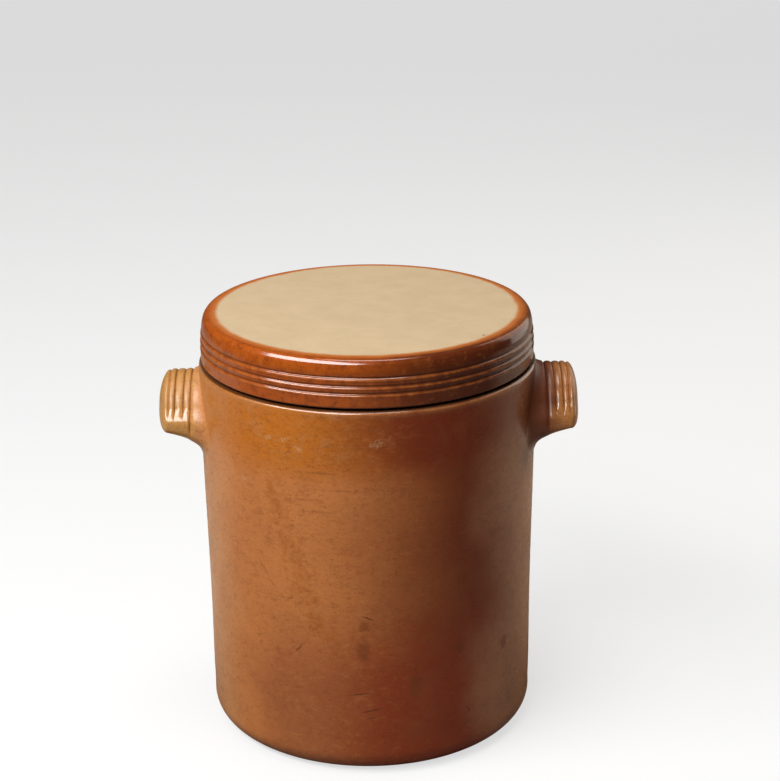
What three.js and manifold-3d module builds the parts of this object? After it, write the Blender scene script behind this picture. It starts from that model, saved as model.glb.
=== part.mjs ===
// Lidded stoneware condiment pot with two ribbed ears, in millimetres.
// X runs from ear to ear, -Y is the front and +Z is up. The origin is on the table, under the middle.
import * as THREE from 'three';
import { ParametricGeometry } from 'three/addons/geometries/ParametricGeometry.js';
import { mergeVertices } from 'three/addons/utils/BufferGeometryUtils.js';
import Module from 'manifold-3d';

const wasm = await Module();
wasm.setup();

// Pot body: a nearly straight wall that opens a little over its middle
const BASE_RADIUS = 81.6;
const BASE_FILLET = 11.5;
const SHOULDER_RADIUS = 83.2;
const SHOULDER_HEIGHT = 188.8;
const SHOULDER_EDGE = 1.4;
const WIDENING = [50, 165];

// Seat of the lid: a low flat step in the middle of the shoulder
const SEAT_RADIUS = 74;
const SEAT_HEIGHT = 190;

// Lid: a thick cap with a flat top, a slightly bulged side and three incised lines
const LID_RADIUS = 82;
const LID_TOP = 213;
const LID_FOOT_EDGE = 1.2;
const LID_SIDE_INSET = 3.3;
const LID_SIDE_HEIGHT = 17.7;
const LID_SIDE_POWER = 2.18;
const LID_LINE_HEIGHTS = [197.8, 201.5, 205.3];
const LID_LINE_DEPTH = 0.9;
const LID_LINE_WIDTH = 1.7;

// Ears: a ribbed arch on each side, with a pressed foot and a rounded end
const EAR_REACH = 104.2;
const EAR_GROOVES = [87.5, 91.1, 95.2, 98.3];
const EAR_GROOVE_DEPTH = 1.1;
const EAR_ARCH_HEIGHT = 160.5;
const EAR_ARCH_RADII = { left: 21.7, right: 22.9 };
const EAR_FOOT_HEIGHT = 155.6;
const EAR_FOOT_SLOPE = 0.4;
const EAR_FOOT_FLARE = 2.6;
const EAR_FOOT_POWER = 3;
const EAR_END_MIDDLE = 165;

// Turns from the top of an ear's arch, in radians, where its ribs fade out and its foot spreads
const EAR_RIB_FADE = [1.15, 1.5];
const EAR_FOOT_SPREAD = [1.15, 1.6];

// Root of an ear: how deep it starts in the wall, and the hollow fillet that blends it in
const EAR_ROOT_RADIUS = 83.2;
const EAR_ROOT_DEPTH = 5;
const EAR_ROOT_FILLET = [2, 8];
const EAR_ROOT_REACH = 2;

// Fineness of the faces
const ROUND_SIDES = 72;
const EDGE_STEPS = 4;
const FILLET_STEPS = 6;
const SIDE_STEPS = 7;
const EAR_SIDES = 32;
const ROOT_STEPS = 7;
const ROOT_GROOVE_STEPS = 2;
const RIB_STEPS = 4;
const END_STEPS = 8;
const END_GROOVE_STEPS = 2;
const WELD = 1e-3;

const COLOURS = { pot: 0xa5652f, lid: 0x9c4a18 };
const GLAZE_ROUGHNESS = 0.32;

const smooth = (low, high, value) => THREE.MathUtils.smoothstep(value, low, high);

// Points on a round edge about a centre, between two angles from the +X side
function arc(x, y, radius, from, to, steps) {
  return Array.from({ length: steps + 1 }, (_, i) => {
    const angle = from + (to - from) * i / steps;
    return new THREE.Vector2(x + radius * Math.cos(angle), y + radius * Math.sin(angle));
  });
}

// Radius of the pot's wall at a height above the base fillet
function wallRadius(height) {
  return THREE.MathUtils.lerp(BASE_RADIUS, SHOULDER_RADIUS, smooth(...WIDENING, height));
}

function potProfile() {
  const points = [new THREE.Vector2(0, 0)];
  points.push(...arc(BASE_RADIUS - BASE_FILLET, BASE_FILLET, BASE_FILLET, -Math.PI / 2, 0, FILLET_STEPS));
  const top = SHOULDER_HEIGHT - SHOULDER_EDGE;
  for (let i = 1; i < SIDE_STEPS; i++) {
    const height = BASE_FILLET + (top - BASE_FILLET) * i / SIDE_STEPS;
    points.push(new THREE.Vector2(wallRadius(height), height));
  }
  points.push(...arc(SHOULDER_RADIUS - SHOULDER_EDGE, top, SHOULDER_EDGE, 0, Math.PI / 2, EDGE_STEPS));
  points.push(new THREE.Vector2(SEAT_RADIUS, SHOULDER_HEIGHT));
  points.push(new THREE.Vector2(SEAT_RADIUS, SEAT_HEIGHT));
  points.push(new THREE.Vector2(0, SEAT_HEIGHT));
  return points;
}

// Radius of the lid's side, which curves in towards its flat top
function lidRadius(height) {
  const rise = Math.max(0, height - (LID_TOP - LID_SIDE_HEIGHT)) / LID_SIDE_HEIGHT;
  const inset = 1 - (1 - rise ** LID_SIDE_POWER) ** (1 / LID_SIDE_POWER);
  return LID_RADIUS - LID_SIDE_INSET * inset;
}

// One incised line: a flat-bottomed notch in the lid's side
function lidLine(height) {
  const half = LID_LINE_WIDTH / 2;
  return [[-half, 0], [-half / 3, 1], [half / 3, 1], [half, 0]].map(([rise, cut]) => (
    new THREE.Vector2(lidRadius(height + rise) - LID_LINE_DEPTH * cut, height + rise)));
}

function lidProfile() {
  const points = [new THREE.Vector2(0, SEAT_HEIGHT)];
  const foot = SEAT_HEIGHT + LID_FOOT_EDGE;
  points.push(...arc(LID_RADIUS - LID_FOOT_EDGE, foot, LID_FOOT_EDGE, -Math.PI / 2, 0, EDGE_STEPS));
  for (const height of LID_LINE_HEIGHTS) points.push(...lidLine(height));
  const start = LID_LINE_HEIGHTS.at(-1) + LID_LINE_WIDTH;
  for (let i = 0; i <= SIDE_STEPS; i++) {
    const height = start + (LID_TOP - start) * Math.sin(i / SIDE_STEPS * Math.PI / 2);
    points.push(new THREE.Vector2(lidRadius(height), height));
  }
  points.push(new THREE.Vector2(0, LID_TOP));
  return points;
}

function turned(profile) {
  return new THREE.LatheGeometry(profile, ROUND_SIDES).rotateX(Math.PI / 2);
}

// Rows of an ear from its root inside the wall out to its end.
// Each row has a distance from the axis, a scale about the end's middle and a depth of groove.
function earRows() {
  const root = EAR_ROOT_RADIUS - EAR_ROOT_DEPTH;
  const rows = [{ out: root, scale: 0, groove: 0 }];
  for (let i = 0; i < ROOT_STEPS; i++) {
    const out = root + (EAR_GROOVES[0] - root) * i / ROOT_STEPS;
    const groove = EAR_GROOVE_DEPTH * smooth(ROOT_STEPS - ROOT_GROOVE_STEPS, ROOT_STEPS, i);
    rows.push({ out, scale: 1, groove });
  }
  for (let rib = 0; rib + 1 < EAR_GROOVES.length; rib++) {
    for (let i = 0; i < RIB_STEPS; i++) {
      const part = i / RIB_STEPS;
      const out = THREE.MathUtils.lerp(EAR_GROOVES[rib], EAR_GROOVES[rib + 1], part);
      rows.push({ out, scale: 1, groove: EAR_GROOVE_DEPTH * (1 - Math.sqrt(1 - (2 * part - 1) ** 2)) });
    }
  }
  const last = EAR_GROOVES.at(-1);
  for (let i = 0; i <= END_STEPS; i++) {
    const turn = i / END_STEPS * Math.PI / 2;
    const groove = EAR_GROOVE_DEPTH * Math.max(0, 1 - i / END_GROOVE_STEPS) ** 2;
    rows.push({ out: last + (EAR_REACH - last) * Math.sin(turn), scale: Math.cos(turn), groove });
  }
  return rows;
}

// A point of an ear: angle 0 is the top of the arch, and half a turn is the middle of its underside
function earPoint(row, angle, archRadius, target) {
  const inward = Math.max(0, EAR_GROOVES.at(-1) - row.out);
  const side = Math.sign(Math.sin(angle)) || 1;
  const turn = Math.abs(THREE.MathUtils.euclideanModulo(angle + Math.PI, 2 * Math.PI) - Math.PI);
  const ribbed = 1 - smooth(...EAR_RIB_FADE, turn);
  const radius = archRadius - row.groove * ribbed;
  const flare = EAR_FOOT_FLARE * smooth(...EAR_FOOT_SPREAD, turn);
  const drop = EAR_ARCH_HEIGHT - EAR_FOOT_HEIGHT + EAR_FOOT_SLOPE * inward;
  const power = turn < Math.PI / 2 ? 1 : 2 / EAR_FOOT_POWER;
  const height = turn < Math.PI / 2 ? radius : drop;
  let y = (radius + flare) * Math.abs(Math.sin(turn)) ** power;
  let z = EAR_ARCH_HEIGHT + Math.sign(Math.cos(turn)) * height * Math.abs(Math.cos(turn)) ** power;
  const standoff = Math.max(0, row.out - EAR_ROOT_RADIUS);
  const [top, under] = EAR_ROOT_FILLET;
  const fillet = (top + (under - top) * (1 - Math.cos(turn)) / 2) * Math.exp(-standoff / EAR_ROOT_REACH);
  const length = Math.hypot(y, z - EAR_END_MIDDLE);
  y += fillet * y / length;
  z += fillet * (z - EAR_END_MIDDLE) / length;
  y *= row.scale * side;
  z = EAR_END_MIDDLE + (z - EAR_END_MIDDLE) * row.scale;
  const wrap = 1 - smooth(0, EAR_GROOVES[0] - EAR_ROOT_RADIUS, standoff);
  const back = EAR_ROOT_RADIUS - Math.sqrt(EAR_ROOT_RADIUS ** 2 - y ** 2);
  return target.set(row.out - wrap * back, y, z);
}

function earGeometry(archRadius) {
  const rows = earRows();
  return new ParametricGeometry((u, v, target) => {
    const row = rows[Math.round(v * (rows.length - 1))];
    earPoint(row, (1 - u) * 2 * Math.PI, archRadius, target);
  }, EAR_SIDES, rows.length - 1);
}

// A geometry with its shared corners merged and the triangles that this flattens left out
function welded(geometry) {
  const plain = geometry.clone();
  plain.deleteAttribute('normal');
  plain.deleteAttribute('uv');
  const merged = mergeVertices(plain, WELD);
  const corners = merged.index.array;
  const kept = [];
  for (let i = 0; i < corners.length; i += 3) {
    const [a, b, c] = corners.slice(i, i + 3);
    if (a !== b && b !== c && c !== a) kept.push(a, b, c);
  }
  return merged.setIndex(kept);
}

// A closed geometry as a solid that can be joined to others
function solidOf(geometry) {
  const closed = welded(geometry);
  return new wasm.Manifold(new wasm.Mesh({
    numProp: 3,
    vertProperties: new Float32Array(closed.attributes.position.array),
    triVerts: new Uint32Array(closed.index.array),
  }));
}

function geometryOf(solid) {
  const mesh = solid.getMesh();
  const geometry = new THREE.BufferGeometry();
  geometry.setAttribute('position', new THREE.BufferAttribute(mesh.vertProperties, mesh.numProp));
  geometry.setIndex(new THREE.BufferAttribute(mesh.triVerts, 1));
  return welded(geometry);
}

// The pot and its two ears are one fired piece
function pot() {
  const right = earGeometry(EAR_ARCH_RADII.right);
  const left = earGeometry(EAR_ARCH_RADII.left).rotateZ(Math.PI);
  return geometryOf(solidOf(turned(potProfile())).add(solidOf(right)).add(solidOf(left)));
}

function lid() {
  return welded(turned(lidProfile()));
}

function piece(name, geometry) {
  const material = new THREE.MeshStandardMaterial({
    color: COLOURS[name],
    roughness: GLAZE_ROUGHNESS,
    metalness: 0,
  });
  const mesh = new THREE.Mesh(geometry, material);
  mesh.name = name;
  return mesh;
}

const condimentPot = new THREE.Group();
condimentPot.add(piece('pot', pot()));
condimentPot.add(piece('lid', lid()));

export default condimentPot;
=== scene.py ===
"""Looks of a lidded stoneware condiment pot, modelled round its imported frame."""
import math

import bmesh
import bpy
from bpy.props import FloatProperty, FloatVectorProperty, PointerProperty
from mathutils import Matrix, Vector


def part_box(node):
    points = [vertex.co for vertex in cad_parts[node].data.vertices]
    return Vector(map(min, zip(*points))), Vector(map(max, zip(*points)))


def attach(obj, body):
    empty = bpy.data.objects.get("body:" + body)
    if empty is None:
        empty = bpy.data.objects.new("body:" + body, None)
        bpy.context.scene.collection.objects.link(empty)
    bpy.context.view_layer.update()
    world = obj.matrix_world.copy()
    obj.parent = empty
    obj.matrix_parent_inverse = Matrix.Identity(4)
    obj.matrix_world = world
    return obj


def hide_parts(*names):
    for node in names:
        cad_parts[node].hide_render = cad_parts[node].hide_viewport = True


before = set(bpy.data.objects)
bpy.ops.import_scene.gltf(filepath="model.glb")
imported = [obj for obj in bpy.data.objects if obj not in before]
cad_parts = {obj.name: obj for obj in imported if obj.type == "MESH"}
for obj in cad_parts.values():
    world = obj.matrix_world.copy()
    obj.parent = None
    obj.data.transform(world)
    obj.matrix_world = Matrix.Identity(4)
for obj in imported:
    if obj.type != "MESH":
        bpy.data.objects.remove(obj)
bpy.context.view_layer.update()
LID_LOW, LID_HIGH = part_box("lid")

bl_info = {
    "name": "Lidded Condiment Pot",
    "version": (1, 0, 0),
    "blender": (4, 5, 0),
    "location": "View3D > Sidebar > Condiment Pot",
    "description": "Models a glazed stoneware pot with ribbed ears, its flat lid and a small studio",
    "category": "Add Mesh",
}

MM = 0.001
FULL_TURN = 2 * math.pi
QUARTER_TURN = math.pi / 2

# Faces round a turned piece, and round the section of an ear
WHEEL_SIDES = 360
EAR_SIDES = 144


def smooth(low, high, value):
    """0 below low, 1 above high, and an even S between them."""
    part = min(1.0, max(0.0, (value - low) / (high - low)))
    return part * part * (3 - 2 * part)


def blend(low, high, part):
    return low + (high - low) * part


def bell(distance, width):
    return math.exp(-((distance / width) ** 2))


def spaced(start, end, step):
    """Values from start up to but without end, about one step apart."""
    count = max(1, round(abs(end - start) / step))
    return [blend(start, end, i / count) for i in range(count)]


# Sizes and colours that a user would change


def length_setting(name, description, default):
    return FloatProperty(name=name, description=description, default=default, unit="LENGTH")


def power_setting(name, description, default):
    return FloatProperty(name=name, description=description, default=default, subtype="POWER")


def colour_setting(name, description, default):
    return FloatVectorProperty(
        name=name, description=description, default=default, subtype="COLOR", min=0, max=1)


class PotSizes(bpy.types.PropertyGroup):
    """Sizes of the pot's body."""

    base_radius: length_setting("Base radius", "Radius of the wall above the base fillet", 81.6 * MM)
    base_fillet: length_setting("Base fillet", "Radius of the round edge under the wall", 11.5 * MM)
    shoulder_radius: length_setting("Shoulder radius", "Radius of the wall at the top", 83.15 * MM)
    shoulder_height: length_setting("Shoulder height", "Height of the pot's rim", 188.8 * MM)
    shoulder_edge: length_setting("Shoulder edge", "Radius of the rim's round edge", 1.5 * MM)
    seat_radius: length_setting("Seat radius", "Radius of the low seat that carries the lid", 74 * MM)
    unevenness: length_setting("Unevenness", "How far the hand-turned wall wanders from a true one", 0.1 * MM)


class EarSizes(bpy.types.PropertyGroup):
    """Sizes of one ear. Distances out are from the pot's axis."""

    reach: length_setting("Reach", "How far out the ear's end is", 103.6 * MM)
    grooves: FloatVectorProperty(
        name="Grooves", description="How far out each of the four grooves is", size=4,
        default=(87.1 * MM, 90.5 * MM, 94.7 * MM, 97.7 * MM), unit="LENGTH")
    groove_depth: length_setting("Groove depth", "Depth of the grooves between the ribs", 1.1 * MM)
    lean: length_setting("Lean", "How far the ribs lean to the body at the top of the arch", 0.5 * MM)
    arch_radius: length_setting("Arch radius", "Radius of the arch", 21.7 * MM)
    arch_height: length_setting("Arch height", "Height of the arch's centre", 160.5 * MM)
    foot_height: length_setting("Foot height", "Height of the underside at the outermost groove", 155.6 * MM)
    foot_slope: FloatProperty(
        name="Foot slope", description="Fall of the underside for each length towards the body", default=0.4)
    foot_flare: length_setting("Foot flare", "How far the pressed foot stands out under the ribs", 2.6 * MM)
    end_height: length_setting("End height", "Height that the rounded end closes about", 165 * MM)
    end_power: FloatProperty(
        name="End power", description="2 is a round end, and more is a squarer one", default=2.0)


class LidSizes(bpy.types.PropertyGroup):
    """Sizes of the lid."""

    radius: length_setting("Radius", "Radius of the lid's side at the foot", 82 * MM)
    foot_edge: length_setting("Foot edge", "Radius of the lower round edge", 1.2 * MM)
    side_inset: length_setting("Side inset", "How far the side curves in at the top", 3.3 * MM)
    side_height: length_setting("Side height", "Height over which the side curves in", 17.7 * MM)
    side_power: FloatProperty(
        name="Side power", description="2 is a round corner, and more is a squarer one", default=2.18)
    lines: FloatVectorProperty(
        name="Lines", description="Heights of the three incised lines", size=3,
        default=(197.3 * MM, 200.9 * MM, 204.9 * MM), unit="LENGTH")
    line_depth: length_setting("Line depth", "Depth of the incised lines", 0.6 * MM)
    line_width: length_setting("Line width", "Half width of an incised line", 0.5 * MM)
    bevel_height: length_setting("Bevel height", "Height of the soft bevel round the top", 1.95 * MM)
    bevel_radius: length_setting("Bevel radius", "Radius of the bevel's slightly round face", 9.7 * MM)
    disc_radius: length_setting("Disc radius", "Radius of the bare clay disc", 74.2 * MM)
    disc_shift: length_setting(
        "Disc shift", "How far the bare disc lies off the middle, to the back", 1.7 * MM)


class GlazeColours(bpy.types.PropertyGroup):
    """Colours of the glazes and of the bare clay."""

    tan: colour_setting("Tan", "Glaze on the pot's left side", (0.560, 0.193, 0.050))
    # Umber is partly the glaze's darker tone and partly painted shade of the side turned from the key light;
    # it also darkens grain and worn patches
    umber_and_shade: colour_setting("Umber", "Glaze on the pot's right side", (0.215, 0.037, 0.0055))
    # Olive is partly painted sheen: the far right made paler and greyer where the glaze mirrors the bright
    # surroundings
    olive_sheen: colour_setting("Olive", "Greyer glaze at the pot's far right", (0.480, 0.205, 0.100))
    # Pale sheen is painted sheen along the far left and right edges, where the glaze mirrors the bright
    # surroundings
    pale_sheen: colour_setting("Dusty", "Paler glaze at the pot's far left", (0.590, 0.250, 0.085))
    gold: colour_setting("Gold", "Glaze under the rim, on the left", (0.530, 0.155, 0.010))
    # Chestnut and clay red are the right side's colours, partly painted shade of that side
    shaded_chestnut: colour_setting("Chestnut", "Glaze under the rim, on the right", (0.210, 0.028, 0.004))
    shaded_clay_red: colour_setting("Clay red", "Redder glaze low down on the right", (0.270, 0.035, 0.005))
    rosy: colour_setting("Rosy", "Duller glaze low down on the left", (0.355, 0.105, 0.032))
    # Edge also gives the pale tints of grain, wear and wrinkles, partly painted sheen on the light side
    edge: colour_setting("Edge", "Thin glaze along the rim and where it is worn", (0.50, 0.20, 0.06))
    ear: colour_setting("Ear", "Left ear", (0.490, 0.255, 0.075))
    ear_dark: colour_setting("Ear, dark", "Right ear", (0.470, 0.200, 0.065))
    groove: colour_setting("Groove", "Glaze pooled in the left ear's grooves", (0.300, 0.085, 0.014))
    # Groove shade is pooled glaze made darker as painted shade in the right ear's inner grooves, and painted
    # shade on the wall round the right ear
    groove_shade: colour_setting(
        "Groove, dark", "Glaze pooled on and round the right ear", (0.120, 0.024, 0.006))
    streak: colour_setting("Streak", "Grainy darker streak", (0.360, 0.095, 0.010))
    stain: colour_setting("Stain", "Reddish stains", (0.190, 0.042, 0.007))
    wrinkle: colour_setting("Wrinkle", "Fine wrinkles and cracks of the glaze", (0.170, 0.050, 0.012))
    # Iron also paints the shade in the gap between the pot's shelf and the lid's foot
    iron: colour_setting("Iron", "Iron specks and scratches", (0.070, 0.022, 0.008))
    clay: colour_setting("Clay", "Bare clay under the pot and pale spots", (0.62, 0.42, 0.24))
    lid: colour_setting("Lid", "Lid glaze on the left", (0.370, 0.072, 0.006))
    # Lid, dark is partly the glaze's darker tone and partly painted shade of the lid's right side; it also
    # darkens flecks
    lid_dark_and_shade: colour_setting("Lid, dark", "Lid glaze on the right", (0.115, 0.021, 0.0045))
    halo: colour_setting("Halo", "Thin glaze round the bare disc", (0.520, 0.150, 0.030))
    disc: colour_setting("Disc", "Bare clay disc", (0.520, 0.385, 0.225))
    disc_dark: colour_setting("Disc, dark", "Mottling of the disc", (0.480, 0.350, 0.200))


class StudioSettings(bpy.types.PropertyGroup):
    """The floor, the lights and the camera."""

    floor_colour: colour_setting(
        "Floor colour", "Colour of the floor and the sweep behind it", (0.30, 0.298, 0.296))
    bounce_soft: colour_setting(
        "Bounce, soft", "Colour of the floor where it lights the pot", (0.30, 0.27, 0.24))
    bounce_front: colour_setting(
        "Bounce, front", "Colour of the floor in front, as the glaze mirrors it", (0.10, 0.10, 0.10))
    bounce_back: colour_setting(
        "Bounce, back", "Colour of the floor behind, as the glaze mirrors it", (0.56, 0.43, 0.33))
    floor_lift: colour_setting(
        "Floor lift", "Light of the floor's own, for the camera alone", (0.66, 0.66, 0.66))
    key_power: power_setting("Key power", "Power of the wide light on the left", 16.2)
    top_power: power_setting("Top power", "Power of the overhead light", 5.6)
    rim_power: power_setting("Rim power", "Power of the strip on the right", 3.0)
    lens: FloatProperty(name="Lens", description="Focal length in millimetres", default=95.22)


# Tools for modelling


def pick_none():
    """Deselects every object, so that an operator acts on the new one alone."""
    if bpy.context.object and bpy.context.object.mode != "OBJECT":
        bpy.ops.object.mode_set(mode="OBJECT")
    bpy.ops.object.select_all(action="DESELECT")


def pick(piece):
    pick_none()
    piece.select_set(True)
    bpy.context.view_layer.objects.active = piece


def name_piece(name):
    piece = bpy.context.object
    piece.name = name
    piece.data.name = name
    return piece


def turned_piece(name, profile):
    """Draws a profile point by point with extrude, and spins it round the Z axis."""
    pick_none()
    bpy.ops.mesh.primitive_plane_add(size=MM, location=(0, 0, 0))
    piece = name_piece(name)
    bpy.ops.object.mode_set(mode="EDIT")
    bpy.ops.mesh.merge(type="CENTER")
    here = Vector((0, 0, 0))
    first = Vector((profile[0][0], 0, profile[0][1]))
    bpy.ops.transform.translate(value=first - here)
    here = first
    for radius, height in profile[1:]:
        there = Vector((radius, 0, height))
        bpy.ops.mesh.extrude_region_move(TRANSFORM_OT_translate={"value": there - here})
        here = there
    bpy.ops.mesh.select_all(action="SELECT")
    bpy.ops.mesh.spin(steps=WHEEL_SIDES, angle=FULL_TURN, center=(0, 0, 0), axis=(0, 0, 1))
    tidy_mesh()
    return piece


def tidy_mesh():
    """In edit mode: merges doubles, turns every face outwards and goes back to object mode."""
    bpy.ops.mesh.select_all(action="SELECT")
    bpy.ops.mesh.remove_doubles(threshold=0.002 * MM)
    bpy.ops.mesh.normals_make_consistent(inside=False)
    bpy.ops.object.mode_set(mode="OBJECT")


def move_points(piece, place):
    """Moves each corner of a mesh to where place(corner) says."""
    for corner in piece.data.vertices:
        corner.co = place(corner.co.copy())
    piece.data.update()


def join_solid(piece, other):
    """Joins another closed piece into this one, as clay is luted on."""
    pick(piece)
    cut = piece.modifiers.new("join", "BOOLEAN")
    cut.operation = "UNION"
    cut.solver = "EXACT"
    cut.object = other
    bpy.ops.object.modifier_apply(modifier=cut.name)
    bpy.data.objects.remove(other)


def shade(piece, angle):
    pick(piece)
    bpy.ops.object.shade_smooth_by_angle(angle=math.radians(angle))


# The pot


# The wall opens between two heights, and has a faint waist just above the base fillet
OPENING_HEIGHTS = (50 * MM, 165 * MM)
WAIST_DEPTH = 0.25 * MM
WAIST_HEIGHT = 15 * MM
WAIST_WIDTH = 9 * MM


def wall_radius(pot, height):
    """Radius of the wall at a height above the base fillet."""
    opening = blend(pot.base_radius, pot.shoulder_radius, smooth(*OPENING_HEIGHTS, height))
    return opening - WAIST_DEPTH * bell(height - WAIST_HEIGHT, WAIST_WIDTH)


def round_edge(radius, height, edge, start, end, steps):
    """Points of an arc about a centre at a radius and a height, between two angles."""
    return [
        (radius + edge * math.cos(blend(start, end, i / steps)),
         height + edge * math.sin(blend(start, end, i / steps)))
        for i in range(steps + 1)
    ]


def follow_arc(start, radius, low, high, steps):
    """An arc that goes on from a point, while its outward normal rises from low to high."""
    across, height = start[0] - radius * math.cos(low), start[1] - radius * math.sin(low)
    return round_edge(across, height, radius, low, high, steps)[1:]


def pot_profile(pot):
    """Outline of the body from the middle of its foot, up the wall and in to the lid's seat."""
    fillet = pot.base_fillet
    points = [(0, 0)] + [(r, 0) for r in spaced(8 * MM, wall_radius(pot, 0) - fillet, 8 * MM)]
    corner = wall_radius(pot, fillet) - fillet
    points += round_edge(corner, fillet, fillet, -QUARTER_TURN, 0, 14)
    top = pot.shoulder_height - pot.shoulder_edge
    heights = spaced(fillet, 140 * MM, 3 * MM)[1:] + spaced(140 * MM, top, 1.6 * MM)
    points += [(wall_radius(pot, z), z) for z in heights]
    rim = pot.shoulder_radius - pot.shoulder_edge
    points += round_edge(rim, top, pot.shoulder_edge, 0, QUARTER_TURN, 8)
    shelf = pot.shoulder_height
    points += [(r, shelf) for r in spaced(rim - 2 * MM, pot.seat_radius, 2 * MM)]
    seat = LID_LOW.z
    points += [(pot.seat_radius, shelf), (pot.seat_radius, seat)]
    points += [(r, seat) for r in spaced(pot.seat_radius - 9 * MM, 0, 13 * MM)] + [(0, seat)]
    return points


def uneven_wall(pot, point):
    """A hand-turned wall: faint throwing rings and a slow wander, never outside the true wall."""
    radius = math.hypot(point.x, point.y)
    if radius < pot.seat_radius or point.z > pot.shoulder_height - pot.shoulder_edge:
        return point
    turn = math.atan2(point.y, point.x)
    rings = 0.35 * math.sin(point.z / MM * 0.83 + turn)
    rings += 0.25 * math.sin(point.z / MM * 1.47 - turn)
    wander = 0.6 * math.sin(2 * turn + point.z / MM * 0.021)
    wander += 0.4 * math.sin(3 * turn - point.z / MM * 0.034)
    hold = smooth(2 * MM, 20 * MM, point.z)
    inward = pot.unevenness * hold * (1 + 0.5 * (wander + rings))
    scale = 1 - max(0.0, inward) / radius
    return Vector((point.x * scale, point.y * scale, point.z))


# The ears


# Angles from the top of the arch between which the ribs and the longer inner groove fade out, and
# between which the flare of the foot grows
RIBS_FADE = (1.14, 1.42)
INNER_GROOVE_FADE = (1.50, 1.85)
FOOT_TURN = (1.12, 1.50)

# Where the ears' joint with the wall is smoothed: out from the middle along X, and up
JOINT_OUT = 60 * MM
JOINT_HEIGHTS = (135 * MM, 187.2 * MM)


def ear_groove(ear, out):
    """Depth of the grooving at a distance from the axis. Each rib is a half round between two grooves."""
    grooves = list(ear.grooves)
    pad, tail = 1.6 * MM, 2.2 * MM
    if out <= grooves[0]:
        return ear.groove_depth * smooth(grooves[0] - pad, grooves[0], out) ** 2
    for near, far in zip(grooves, grooves[1:]):
        if out <= far:
            part = (out - near) / (far - near)
            rib = math.sqrt(max(0.0, 1 - (2 * part - 1) ** 2))
            return ear.groove_depth * (1 - rib)
    return ear.groove_depth * (1 - smooth(grooves[-1], grooves[-1] + tail, out)) ** 2


def ear_point(ear, root, point):
    """Where a corner of the plain cylinder goes on the ear. Angle 0 is the top of the arch."""
    out, angle = point.x, math.atan2(point.y, point.z - ear.arch_height)
    last = ear.grooves[3]
    side, turn = math.copysign(1, angle), abs(angle)
    inner = 1 - smooth(0.6 * MM, 1.6 * MM, abs(out - ear.grooves[0]))
    fade = [blend(ribs, groove, inner) for ribs, groove in zip(RIBS_FADE, INNER_GROOVE_FADE)]
    ribbed = 1 - smooth(*fade, turn)
    radius = ear.arch_radius - ear_groove(ear, out) * ribbed
    flare = ear.foot_flare * smooth(*FOOT_TURN, turn)
    drop = ear.arch_height - ear.foot_height + ear.foot_slope * max(0.0, last - out)
    under = turn > QUARTER_TURN
    power = 2 / 3 if under else 1
    height = drop if under else radius
    y = (radius + flare) * abs(math.sin(turn)) ** power
    z = ear.arch_height + math.copysign(height, math.cos(turn)) * abs(math.cos(turn)) ** power
    standoff = max(0.0, out - root)
    fillet = blend(2 * MM, 8 * MM, (1 - math.cos(turn)) / 2) * math.exp(-standoff / (2 * MM))
    length = math.hypot(y, z - ear.end_height)
    y += fillet * y / length
    z += fillet * (z - ear.end_height) / length
    past = min(1.0, max(0.0, (out - last) / (ear.reach - last)))
    closing = (1 - past ** ear.end_power) ** (1 / ear.end_power)
    y *= closing * side
    z = ear.end_height + (z - ear.end_height) * closing
    wrap = 1 - smooth(0, ear.grooves[0] - root, standoff)
    back = root - math.sqrt(max(0.0, root * root - y * y))
    lean = ear.lean * (z - ear.end_height) / ear.arch_radius * smooth(root, ear.grooves[0], out)
    return Vector((out - wrap * back - lean * closing, y, z))


def ear_rings(ear, root):
    """Distances out of an ear's rings, closer where it is ribbed or rounded."""
    grooves = list(ear.grooves)
    rings = spaced(root - 4 * MM, root, 0.8 * MM) + spaced(root, grooves[0], 0.35 * MM)
    for near, far in zip(grooves, grooves[1:]):
        rings += [blend(near, far, (1 - math.cos(math.pi * i / 12)) / 2) for i in range(12)]
    last = grooves[-1]
    rings += [blend(last, ear.reach, math.sin(QUARTER_TURN * i / 22)) for i in range(23)]
    return rings


def ear_piece(name, ear, root, turned):
    """Draws a tube ring by ring, presses it to the ear's form, and turns it to its side of the pot."""
    rings = ear_rings(ear, root)
    pick_none()
    bpy.ops.mesh.primitive_circle_add(
        vertices=EAR_SIDES, radius=ear.arch_radius, fill_type="NGON",
        location=(0, 0, 0), rotation=(0, QUARTER_TURN, 0))
    piece = name_piece(name)
    bpy.ops.object.transform_apply(location=False, rotation=True, scale=False)
    bpy.ops.object.mode_set(mode="EDIT")
    bpy.ops.transform.translate(value=(rings[0], 0, ear.arch_height))
    for here, there in zip(rings, rings[1:]):
        bpy.ops.mesh.extrude_region_move(TRANSFORM_OT_translate={"value": (there - here, 0, 0)})
    bpy.ops.object.mode_set(mode="OBJECT")
    move_points(piece, lambda point: ear_point(ear, root, point))
    if turned:
        move_points(piece, lambda point: Vector((-point.x, -point.y, point.z)))
    bpy.ops.object.mode_set(mode="EDIT")
    tidy_mesh()
    return piece


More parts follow.
